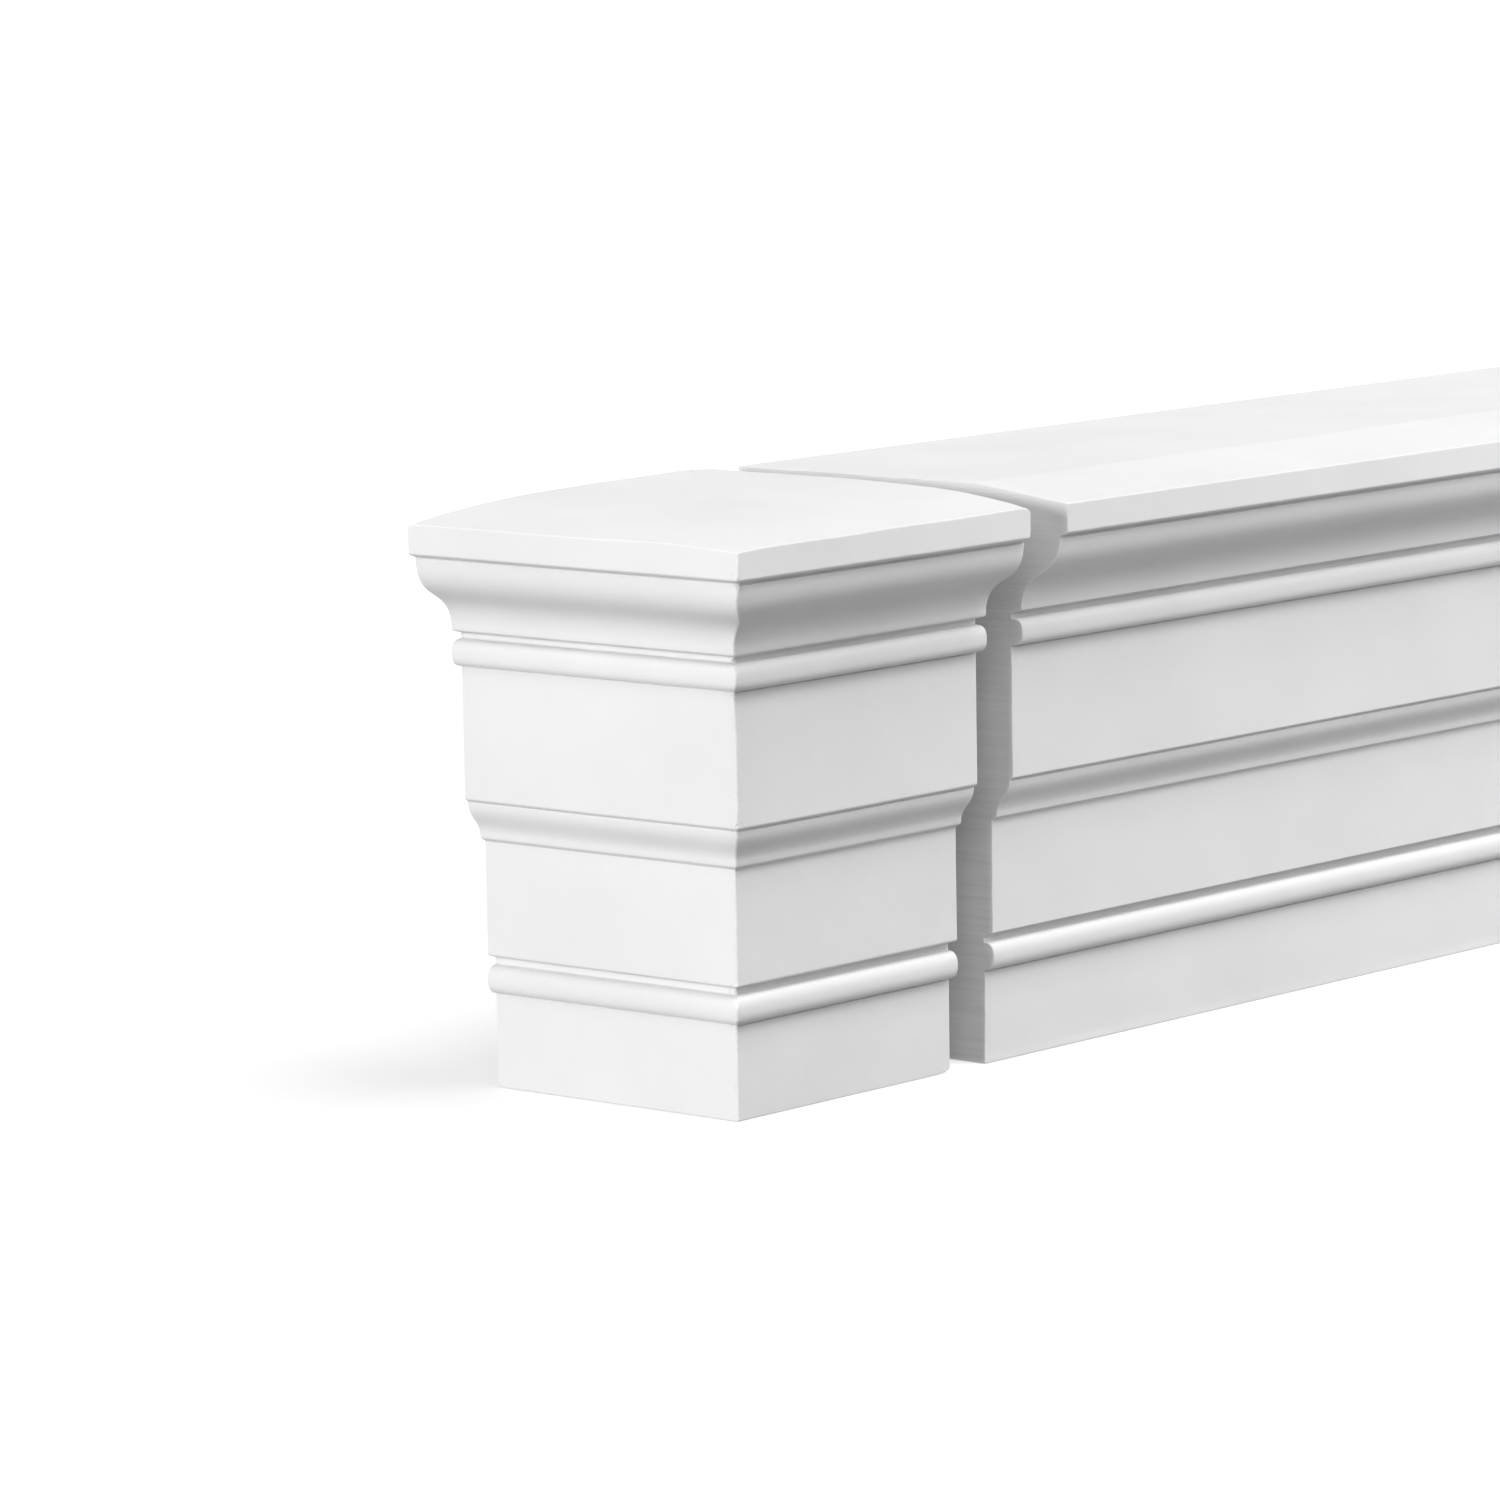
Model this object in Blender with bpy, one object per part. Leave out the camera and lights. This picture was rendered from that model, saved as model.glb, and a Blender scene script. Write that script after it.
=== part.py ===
"""Facade moulding: a short end piece with a mitred return, and a straight run beside it.

Units are metres and +Z is up. The moulding runs along X, its face looks to -Y and its
flat back stands in the wall plane on the +Y side. The origin is under the middle of the
whole moulding, on the underside. Both pieces share one profile, which is described from
the cap down to the underside. An inset is measured back from the face of the cap, and a
drop is measured down from the front edge of the cap.
"""

import math

import bmesh
import bpy

# Lengths along the wall
END_PIECE_LENGTH = 0.192
JOINT_GAP = 0.024
RUN_LENGTH = 0.784

# Thickness of the moulding from its lower fascia to the wall
BODY_DEPTH = 0.1386

# Heights of the profile's members, from the top down
CAP_HEIGHT = 0.0146
OGEE_HEIGHT = 0.0338
UPPER_QUIRK_HEIGHT = 0.0038
UPPER_BEAD_HEIGHT = 0.0119
UPPER_FASCIA_HEIGHT = 0.0583
SMALL_OGEE_HEIGHT = 0.0197
MIDDLE_FASCIA_HEIGHT = 0.0503
LOWER_QUIRK_HEIGHT = 0.0044
LOWER_BEAD_HEIGHT = 0.0126
LOWER_FASCIA_HEIGHT = 0.0418

# Setbacks of the members, each measured from the member above it
CAP_OVERHANG = 0.0043
OGEE_SETBACK = 0.0216
UPPER_QUIRK_DEPTH = 0.0058
SMALL_OGEE_LEDGE = 0.0019
SMALL_OGEE_SETBACK = 0.0076
MIDDLE_FASCIA_LEDGE = 0.0030
LOWER_QUIRK_DEPTH = 0.0050

# Beads stand out from the fascia below them; a fullness above 2 is squarer than a circle
UPPER_BEAD_PROJECTION = 0.0062
LOWER_BEAD_PROJECTION = 0.0053
UPPER_BEAD_FULLNESS = 2.4
LOWER_BEAD_FULLNESS = 2.0

# Soft edges, and the slight slopes of the ledges over the quirks and the small ogee
CAP_EDGE_RADIUS = 0.0010
CAP_LEDGE_FALL = 0.0016
QUIRK_LEDGE_FALL = 0.0014
SMALL_OGEE_LEDGE_FALL = 0.0011
MIDDLE_FASCIA_LEDGE_FALL = 0.0016

# Stiffness of the ogees: how far each end keeps its upright direction
OGEE_UPPER_PULL = 0.0220
OGEE_LOWER_PULL = 0.0210
SMALL_OGEE_PULL = 0.0081

# Weathered top: the run slopes to a flat back zone, the end piece is gently domed
WEATHERING_RISE = 0.0063
WEATHERING_WIDTH = 0.0520
DOME_RISE = 0.0078
DOME_REACH = 0.0330
DOME_WIDTH = 0.1050

# Segments of the curved members
OGEE_SEGMENTS = 24
SMALL_OGEE_SEGMENTS = 16
BEAD_SEGMENTS = 20
EDGE_SEGMENTS = 4
DOME_SEGMENTS = 16

# Above this angle between two faces the edge between them is drawn sharp
SHARP_EDGE_ANGLE = math.radians(28)

# Surface of primed plaster: colour, roughness and metallic value
PRIMER_COLOUR = (0.78, 0.78, 0.77, 1.0)
PRIMER_ROUGHNESS = 0.75
PRIMER_METALLIC = 0.0

# Overall sizes that follow from the members
FACE_HEIGHT = (
    CAP_HEIGHT + OGEE_HEIGHT + UPPER_QUIRK_HEIGHT + UPPER_BEAD_HEIGHT
    + UPPER_FASCIA_HEIGHT + SMALL_OGEE_HEIGHT + MIDDLE_FASCIA_HEIGHT
    + LOWER_QUIRK_HEIGHT + LOWER_BEAD_HEIGHT + LOWER_FASCIA_HEIGHT
)
LOWER_FASCIA_INSET = (
    CAP_OVERHANG + OGEE_SETBACK + UPPER_QUIRK_DEPTH + SMALL_OGEE_LEDGE
    + SMALL_OGEE_SETBACK + MIDDLE_FASCIA_LEDGE + LOWER_QUIRK_DEPTH
)
TOTAL_LENGTH = END_PIECE_LENGTH + JOINT_GAP + RUN_LENGTH
TOTAL_DEPTH = LOWER_FASCIA_INSET + BODY_DEPTH
CAP_FACE_Y = -TOTAL_DEPTH / 2
WALL_Y = TOTAL_DEPTH / 2
LEFT_END_X = -TOTAL_LENGTH / 2


def clear_objects():
    """Empty the file of its objects."""
    for item in list(bpy.data.objects):
        bpy.data.objects.remove(item, do_unlink=True)


def ogee(start, end, start_pull, end_pull, segments):
    """Points of a reversed ogee that leaves and reaches its ends upright."""
    start_guide = (start[0], start[1] + start_pull)
    end_guide = (end[0], end[1] - end_pull)
    points = []
    for step in range(segments + 1):
        t = step / segments
        weights = ((1 - t) ** 3, 3 * t * (1 - t) ** 2, 3 * t * t * (1 - t), t ** 3)
        controls = (start, start_guide, end_guide, end)
        inset = sum(w * c[0] for w, c in zip(weights, controls))
        drop = sum(w * c[1] for w, c in zip(weights, controls))
        points.append((inset, drop))
    return points


def bead(fascia_inset, top_drop, height, projection, fullness):
    """Points of a bead that stands out from the fascia, from its top to its foot."""
    power = 2 / fullness
    middle_drop = top_drop + height / 2
    points = []
    for step in range(BEAD_SEGMENTS + 1):
        angle = math.pi * step / BEAD_SEGMENTS
        outward = math.sin(angle) ** power if 0 < step < BEAD_SEGMENTS else 0.0
        upward = math.copysign(abs(math.cos(angle)) ** power, math.cos(angle))
        points.append((fascia_inset - projection * outward, middle_drop - height / 2 * upward))
    return points


def rounded_lower_edge(inset, drop, radius):
    """Points that turn a face's lower edge under, towards the wall."""
    points = []
    for step in range(EDGE_SEGMENTS + 1):
        angle = math.pi / 2 * step / EDGE_SEGMENTS
        points.append((inset + radius * (1 - math.cos(angle)), drop - radius * (1 - math.sin(angle))))
    return points


def face_profile():
    """Points of the moulded face as (inset, drop), from the cap's front edge to the foot."""
    points = [(0.0, 0.0)]

    drop = CAP_HEIGHT
    inset = CAP_OVERHANG
    points += rounded_lower_edge(0.0, drop - CAP_LEDGE_FALL, CAP_EDGE_RADIUS)

    ogee_foot = (inset + OGEE_SETBACK, drop + OGEE_HEIGHT)
    points += ogee((inset, drop), ogee_foot, OGEE_UPPER_PULL, OGEE_LOWER_PULL, OGEE_SEGMENTS)
    inset, drop = ogee_foot

    inset += UPPER_QUIRK_DEPTH
    points.append((inset, drop + QUIRK_LEDGE_FALL))
    drop += UPPER_QUIRK_HEIGHT
    points += bead(inset, drop, UPPER_BEAD_HEIGHT, UPPER_BEAD_PROJECTION, UPPER_BEAD_FULLNESS)
    drop += UPPER_BEAD_HEIGHT

    drop += UPPER_FASCIA_HEIGHT
    points.append((inset, drop))

    small_ogee_head = (inset + SMALL_OGEE_LEDGE, drop + SMALL_OGEE_LEDGE_FALL)
    small_ogee_foot = (
        inset + SMALL_OGEE_LEDGE + SMALL_OGEE_SETBACK,
        drop + SMALL_OGEE_HEIGHT - MIDDLE_FASCIA_LEDGE_FALL,
    )
    points += ogee(
        small_ogee_head, small_ogee_foot, SMALL_OGEE_PULL, SMALL_OGEE_PULL, SMALL_OGEE_SEGMENTS
    )
    inset += SMALL_OGEE_LEDGE + SMALL_OGEE_SETBACK + MIDDLE_FASCIA_LEDGE
    drop += SMALL_OGEE_HEIGHT
    points.append((inset, drop))

    drop += MIDDLE_FASCIA_HEIGHT
    points.append((inset, drop))

    inset += LOWER_QUIRK_DEPTH
    points.append((inset, drop + QUIRK_LEDGE_FALL))
    drop += LOWER_QUIRK_HEIGHT
    points += bead(inset, drop, LOWER_BEAD_HEIGHT, LOWER_BEAD_PROJECTION, LOWER_BEAD_FULLNESS)
    points.append((inset, FACE_HEIGHT))
    return points


def sloped_top():
    """Points of the run's weathered top, from the flat back zone to the cap."""
    return [(WEATHERING_WIDTH, -WEATHERING_RISE)]


def domed_top():
    """Points of the end piece's top, from its flat crown to the cap."""
    full_rise = 1 - math.exp(-DOME_WIDTH / DOME_REACH)
    points = []
    for step in range(DOME_SEGMENTS, 0, -1):
        inset = DOME_WIDTH * (step / DOME_SEGMENTS) ** 2
        rise = DOME_RISE * (1 - math.exp(-inset / DOME_REACH)) / full_rise
        points.append((inset, -rise))
    return points


def primer_material(name):
    """The matt white primer of one piece."""
    material = bpy.data.materials.new(name)
    material.use_nodes = True
    shader = material.node_tree.nodes["Principled BSDF"]
    shader.inputs["Base Color"].default_value = PRIMER_COLOUR
    shader.inputs["Roughness"].default_value = PRIMER_ROUGHNESS
    shader.inputs["Metallic"].default_value = PRIMER_METALLIC
    return material


def finish_piece(name, builder, x_position):
    """Turn a built mesh into a named, smoothly shaded piece at its place along the wall."""
    bmesh.ops.recalc_face_normals(builder, faces=builder.faces)
    mesh = bpy.data.meshes.new(name)
    builder.to_mesh(mesh)
    builder.free()
    mesh.shade_smooth()
    mesh.set_sharp_from_angle(angle=SHARP_EDGE_ANGLE)
    mesh.materials.append(primer_material(name + "_primer"))
    piece = bpy.data.objects.new(name, mesh)
    piece.location = (x_position, 0.0, 0.0)
    bpy.context.scene.collection.objects.link(piece)
    return piece


def bridge_columns(builder, first, second):
    """Join two columns of points that run down the same profile, face by face."""
    for index in range(len(first) - 1):
        builder.faces.new((first[index], first[index + 1], second[index + 1], second[index]))


def profile_column(builder, profile, place):
    """One vertex for each point of the profile, where place() puts it."""
    return [builder.verts.new(place(inset, FACE_HEIGHT - drop)) for inset, drop in profile]


def make_end_piece():
    """The end piece: its face and its left return meet in a mitre at the front corner."""
    profile = domed_top() + face_profile()
    right_x = END_PIECE_LENGTH
    builder = bmesh.new()
    wall_column = profile_column(builder, profile, lambda inset, z: (inset, WALL_Y, z))
    mitre_column = profile_column(builder, profile, lambda inset, z: (inset, CAP_FACE_Y + inset, z))
    cut_column = profile_column(builder, profile, lambda inset, z: (right_x, CAP_FACE_Y + inset, z))
    bridge_columns(builder, wall_column, mitre_column)
    bridge_columns(builder, mitre_column, cut_column)

    back_top = builder.verts.new((right_x, WALL_Y, FACE_HEIGHT - profile[0][1]))
    back_foot = builder.verts.new((right_x, WALL_Y, 0.0))
    builder.faces.new(wall_column + [back_foot, back_top])
    builder.faces.new(cut_column + [back_foot, back_top])
    builder.faces.new((wall_column[0], mitre_column[0], cut_column[0], back_top))
    builder.faces.new((wall_column[-1], mitre_column[-1], cut_column[-1], back_foot))
    return finish_piece("end_piece", builder, LEFT_END_X)


def make_run():
    """The straight run, cut square at both ends."""
    profile = sloped_top() + face_profile()
    builder = bmesh.new()
    ends = []
    for x in (0.0, RUN_LENGTH):
        column = profile_column(builder, profile, lambda inset, z: (x, CAP_FACE_Y + inset, z))
        column.append(builder.verts.new((x, WALL_Y, 0.0)))
        column.append(builder.verts.new((x, WALL_Y, FACE_HEIGHT - profile[0][1])))
        builder.faces.new(column)
        ends.append(column + column[:1])
    bridge_columns(builder, ends[0], ends[1])
    return finish_piece("moulding_run", builder, LEFT_END_X + END_PIECE_LENGTH + JOINT_GAP)


def main():
    clear_objects()
    make_end_piece()
    make_run()


main()
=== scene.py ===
import math

import bpy
import numpy as np
from mathutils import Matrix, Vector
from mathutils.geometry import tessellate_polygon


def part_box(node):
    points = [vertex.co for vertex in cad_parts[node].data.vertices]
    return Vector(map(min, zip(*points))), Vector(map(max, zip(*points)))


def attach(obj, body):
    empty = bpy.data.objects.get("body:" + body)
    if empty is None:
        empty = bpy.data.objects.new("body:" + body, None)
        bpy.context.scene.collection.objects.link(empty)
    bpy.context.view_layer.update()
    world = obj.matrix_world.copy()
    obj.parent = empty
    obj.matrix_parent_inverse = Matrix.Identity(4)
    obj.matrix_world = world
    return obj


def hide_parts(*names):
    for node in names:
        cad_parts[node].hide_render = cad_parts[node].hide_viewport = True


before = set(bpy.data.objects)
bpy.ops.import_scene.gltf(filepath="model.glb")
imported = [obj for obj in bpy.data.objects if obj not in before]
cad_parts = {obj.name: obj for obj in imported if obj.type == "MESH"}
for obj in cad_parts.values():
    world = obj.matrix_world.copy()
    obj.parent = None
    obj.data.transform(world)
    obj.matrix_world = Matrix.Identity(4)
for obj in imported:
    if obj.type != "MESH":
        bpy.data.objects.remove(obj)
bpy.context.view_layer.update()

# Places taken from the frame, in metres
END_LOW, END_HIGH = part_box("end_piece")
RUN_LOW, RUN_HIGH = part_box("moulding_run")
CAP_FACE_Y = END_LOW.y
WALL_Y = END_HIGH.y
DEPTH = WALL_Y - CAP_FACE_Y
END_LENGTH = END_HIGH.x - END_LOW.x
RUN_LENGTH = RUN_HIGH.x - RUN_LOW.x

# Heights of the profile's members, from the top down
CAP_HEIGHT = 0.0146
OGEE_HEIGHT = 0.0338
UPPER_QUIRK_HEIGHT = 0.0038
UPPER_BEAD_HEIGHT = 0.0119
UPPER_FASCIA_HEIGHT = 0.0583
SMALL_OGEE_HEIGHT = 0.0197
MIDDLE_FASCIA_HEIGHT = 0.0503
LOWER_QUIRK_HEIGHT = 0.0044
LOWER_BEAD_HEIGHT = 0.0126
LOWER_FASCIA_HEIGHT = 0.0418
FACE_HEIGHT = (
    CAP_HEIGHT + OGEE_HEIGHT + UPPER_QUIRK_HEIGHT + UPPER_BEAD_HEIGHT
    + UPPER_FASCIA_HEIGHT + SMALL_OGEE_HEIGHT + MIDDLE_FASCIA_HEIGHT
    + LOWER_QUIRK_HEIGHT + LOWER_BEAD_HEIGHT + LOWER_FASCIA_HEIGHT
)
RUN_TOP_RISE = RUN_HIGH.z - FACE_HEIGHT
END_TOP_RISE = END_HIGH.z - FACE_HEIGHT

# Setbacks of the members, each measured from the member above it
CAP_OVERHANG = 0.0043
OGEE_SETBACK = 0.0216
UPPER_QUIRK_DEPTH = 0.0058
SMALL_OGEE_LEDGE = 0.0019
SMALL_OGEE_SETBACK = 0.0076
MIDDLE_FASCIA_LEDGE = 0.0030
LOWER_QUIRK_DEPTH = 0.0050
LOWER_FASCIA_INSET = (
    CAP_OVERHANG + OGEE_SETBACK + UPPER_QUIRK_DEPTH + SMALL_OGEE_LEDGE
    + SMALL_OGEE_SETBACK + MIDDLE_FASCIA_LEDGE + LOWER_QUIRK_DEPTH
)
UPPER_BEAD_PROJECTION = 0.0062
LOWER_BEAD_PROJECTION = 0.0053
UPPER_BEAD_FULLNESS = 2.8
LOWER_BEAD_FULLNESS = 2.4

# Slight falls of the ledges, and how far the ogees keep their upright ends
CAP_LEDGE_FALL = 0.0016
QUIRK_LEDGE_FALL = 0.0014
SMALL_OGEE_LEDGE_FALL = 0.0011
MIDDLE_FASCIA_LEDGE_FALL = 0.0016
OGEE_UPPER_PULL = 0.0220
OGEE_LOWER_PULL = 0.0210
SMALL_OGEE_PULL = 0.0081

# Tops: the run slopes to a flat zone, the end piece is domed, a little lower by the return
WEATHERING_WIDTH = 0.0520
WEATHERING_TURN = 0.0120
DOME_REACH_FROM_RETURN = 0.0437
DOME_REACH_FROM_FACE = 0.0372
DOME_SWELL = 1.3
DOME_RETURN_SHARE = 0.90
HIP_SHARPNESS = 3.0
DOMED_ABOVE = -0.3 * CAP_HEIGHT

# Inset at which the end piece's outline ends on its top and underside, short of its back corner
END_TOP_INSET = DEPTH - 0.005

# How softly the corners of the profile are turned
END_SOFTNESS = {
    "cap_head": 0.0009, "cap_foot": 0.0012, "arris": 0.0013, "crease": 0.0003,
    "bead_head": 0.0010,
}
RUN_SOFTNESS = {
    "cap_head": 0.0008, "cap_foot": 0.0011, "arris": 0.0007, "crease": 0.0003,
    "bead_head": 0.0007,
}
FOOT_RADIUS = 0.0004
WALL_END_RADIUS = 0.0006
CUT_END_RADIUS = 0.0010
RUN_END_RADIUS = 0.0003
MITRE_RADIUS = 0.0008

# Drops where the mitre is most ragged, under the cap and by the quirks and beads, with their reach
MITRE_RAGGED_DROPS = (0.015, 0.050, 0.064, 0.122, 0.193, 0.208)
RAGGED_REACH = 0.0035

# Nicks along the mitre, as (wavelength, seed), deeper where it is ragged
NICK_WAVES = (0.0032, 26)
NICK_DEPTH = 0.00007
RAGGED_NICK_DEPTH = 0.00016
NICK_ALLOWANCE = 0.00012
NICK_FADE = 0.0016
NICKED_BELOW = 0.002

# Longer sways of the mitre, as (wavelength, seed), deepest round the ogee's (drop, reach)
SWAY_WAVES = (0.013, 27)
SWAY_DEPTH = 0.00010
OGEE_SWAY_DEPTH = 0.00020
OGEE_SWAY_PLACE = (0.034, 0.016)

# Where the mitre line wavers, as (drop, reach up and down, shift to the right)
MITRE_WAVERS = (
    (0.023, 0.0040, -0.0006), (0.033, 0.0035, 0.0011), (0.045, 0.0050, -0.0010),
    (0.068, 0.0100, -0.0007),
)
WAVER_FADE = 0.005

# By the mitre, the face's cap and ogee stand a little further back than at the cut end
MITRE_SETBACK = 0.0018
SETBACK_DROP = 0.034
SETBACK_BLEND = 0.006
SETBACK_FADE_ALONG_FACE = 0.050
SETBACK_FADE_ALONG_RETURN = 0.030

# Grey specks by the mitre, and their share where it isn't ragged
SPECK_FADE = 0.0022
SPECK_SHARE = 0.15
SPECKED_BELOW = 0.004

# Sunk lines under the cap, under the beads and over the small ogee, as (height, depth)
CAP_LINE = (0.0010, 0.0017)
BEAD_LINE = (0.0007, 0.0010)
SMALL_OGEE_LINE = (0.0005, 0.0008)

# How much deeper than in the solid the quirks are sunk
UPPER_QUIRK_SINK = 0.0005
LOWER_QUIRK_SINK = 0.0012

# Share of the face's sunk depth that the return has, and how sunk lines run out
RETURN_LINE_SHARE = 0.12
LINE_FADE = 0.0022
LINE_FADE_AT_MITRE = 0.006

# Ripples of the coat, as (height, wavelength, seed), and how far under the solid's surface they lie
RUN_COAT = ((0.00010, 0.09, 11), (0.00004, 0.02, 12))
RUN_COAT_ALLOWANCE = 0.00015
END_COAT = ((0.00014, 0.07, 23), (0.00004, 0.015, 24))
END_COAT_ALLOWANCE = 0.00020

# At the end piece's cut edges its ripples are weaker, and the run's back and foot have none
CUT_EDGE = 0.0005
CUT_EDGE_COAT_SHARE = 0.3
PLAIN_MARGIN = 0.001

# The run's saw cuts drift in and out by ripples, as (height, wavelength, seed)
SAW_DRIFT = ((0.00016, 0.035, 13), (0.00008, 0.008, 14))
SAW_ALLOWANCE = 0.0004
SAW_FADE = 0.004

# Hand-finished cap edge: it dips at the mitre and rises from there, as (height, length)
EDGE_DIP = 0.0010
RETURN_EDGE_RISE = (0.0012, 0.014)
FACE_EDGE_RISE = (0.0008, 0.020)
FACE_EDGE_SLOPE = 0.0055
EDGE_REACH = 0.030

# A hump of the return's cap edge, as (height, place, width)
RETURN_EDGE_HUMP = (0.0005, 0.045, 0.025)

# Ripples of the cap edge, as (height, wavelength, seed)
EDGE_RIPPLES = ((0.00008, 0.014, 21), (0.00014, 0.05, 22))

# Dents in the return's cap edge, as (height, wavelength, seed), round their (place, width)
DENTS = ((0.00022, 0.006, 25),)
DENTS_PLACE = (0.075, 0.022)
DENTS_REACH = 0.004

# Worn corners of the end piece, as (length along the piece, height, reach inwards)
CAP_CUT_CORNER = (0.0060, 0.0052, 0.0048)
CAP_WALL_CORNER = (0.0040, 0.0020, 0.0060)
FOOT_CUT_CORNER = (0.0120, 0.0024, 0.012)
FOOT_WALL_CORNER = (0.0030, 0.0030, 0.012)
FOOT_WEAR_HEIGHT = 0.010
CAP_END_RIM = 0.0018

# Wear of the cap's lower edge at the cut end, which grows below its drop, over its height
CAP_FOOT_WEAR = 0.0009
CAP_FOOT_WEAR_DROP = 0.0085
CAP_FOOT_WEAR_HEIGHT = 0.0045
CAP_FOOT_WEAR_FADE = 0.006

# Largest share of a side that a turned corner takes up, and its clearance to a curve, in radii
FILLET_SHARE = 0.48
FILLET_CLEARANCE = 2.2

# Small lengths: what counts as touching, as the top and as no length at all
TOUCH = 1e-6
TOP_EDGE_DROP = 0.0001
NEAR_ZERO = 1e-5
SHORTEST = 1e-9

# Ripples are sums of waves whose lengths are spread between two shares of the wavelength
RIPPLE_WAVES = 14
RIPPLE_SPREAD = (0.6, 1.6)

# How fine the meshes are
OGEE_STEPS = 30
SMALL_OGEE_STEPS = 18
BEAD_STEPS = 24
ARC_STEPS = 5
END_ROUND_STEPS = 5
MITRE_STEPS = 6
RUN_FACE_STEP = 0.0022
END_FACE_STEP = 0.0014
SUPPORT_STEP = 0.00025
SUPPORTED_LENGTH = 0.0035
TOP_STEP = 0.0045
PLAIN_STEP = 0.0080
END_STATION_STEP = 0.0032
RUN_STATION_STEP = 0.0060
NEAR_MITRE = (0.0007, 0.0016, 0.0030)
NEAR_END = (0.0040, 0.0028, 0.0018, 0.0010, 0.0004)

# Camera: where it stands, how it is turned, and its lens on a 36 mm wide sensor
CAMERA_PLACE = (-2.7222, -2.0167, 0.5761)
CAMERA_YAW = math.radians(49.18)
CAMERA_PITCH = math.radians(7.895)
CAMERA_ROLL = math.radians(0.944)
CAMERA_LENS = 173.3
CAMERA_SENSOR = 36.0

# Tones of the materials, as RGBA
PRIMER_TONES = ((0.800, 0.800, 0.799, 1), (0.832, 0.832, 0.831, 1))
SPECK_TONE = (0.36, 0.36, 0.355, 1)
CUT_TONES = ((0.66, 0.66, 0.659, 1), (0.73, 0.73, 0.729, 1))
# Painted light on the cut faces: a paler tone towards their top, between two heights, up to a share
CUT_PAINTED_LIGHT_TONE = (0.88, 0.88, 0.879, 1)
CUT_PAINTED_LIGHT_HEIGHTS = (0.215, 0.255)
CUT_PAINTED_LIGHT_SHARE = 0.7
FLOOR_TONES = ((0.640, 0.640, 0.640, 1), (0.655, 0.655, 0.655, 1))
FLOOR_GLOW = 0.50
FLOOR_HALF_WIDTH = 30.0
FLOOR_DROP = 0.0002

# Broad lights, as (azimuth, elevation, breadth, strength) with the angles in degrees
SUNS = {
    "side_light": (176, 5, 20, 2.25),
    "left_light": (220, 30, 40, 0.84),
    "high_light": (290, 60, 40, 1.68),
    "back_light": (80, 12, 40, 0.9),
    "right_light": (350, 8, 20, 0.8),
}
PANEL_PLACE = (1.1, -1.6, 1.0)
PANEL_TARGET = (0.35, 0, 0.15)
PANEL_SIZE = 1.2
PANEL_POWER = 17.3

# Light of the room from below, from around and from above
LIGHT_FROM_BELOW = 0.265
LIGHT_FROM_AROUND = 0.0
LIGHT_FROM_ABOVE = 0.285


def ogee_points(start, end, start_pull, end_pull, steps):
    """A reversed ogee that leaves and reaches its ends upright, as (inset, drop) points."""
    guides = (start, (start[0], start[1] + start_pull), (end[0], end[1] - end_pull), end)
    points = []
    for step in range(steps + 1):
        t = step / steps
        weights = ((1 - t) ** 3, 3 * t * (1 - t) ** 2, 3 * t * t * (1 - t), t ** 3)
        points.append(tuple(sum(w * g[axis] for w, g in zip(weights, guides)) for axis in (0, 1)))
    return points


def bead_points(fascia_inset, top_drop, height, projection, fullness):
    """A bead that stands out from the fascia, from its top to its foot."""
    power = 2 / fullness
    points = []
    for step in range(BEAD_STEPS + 1):
        angle = math.pi * step / BEAD_STEPS
        outward = max(0.0, math.sin(angle)) ** power
        upward = math.copysign(abs(math.cos(angle)) ** power, math.cos(angle))
        points.append((fascia_inset - projection * outward, top_drop + height / 2 * (1 - upward)))
    return points


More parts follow.
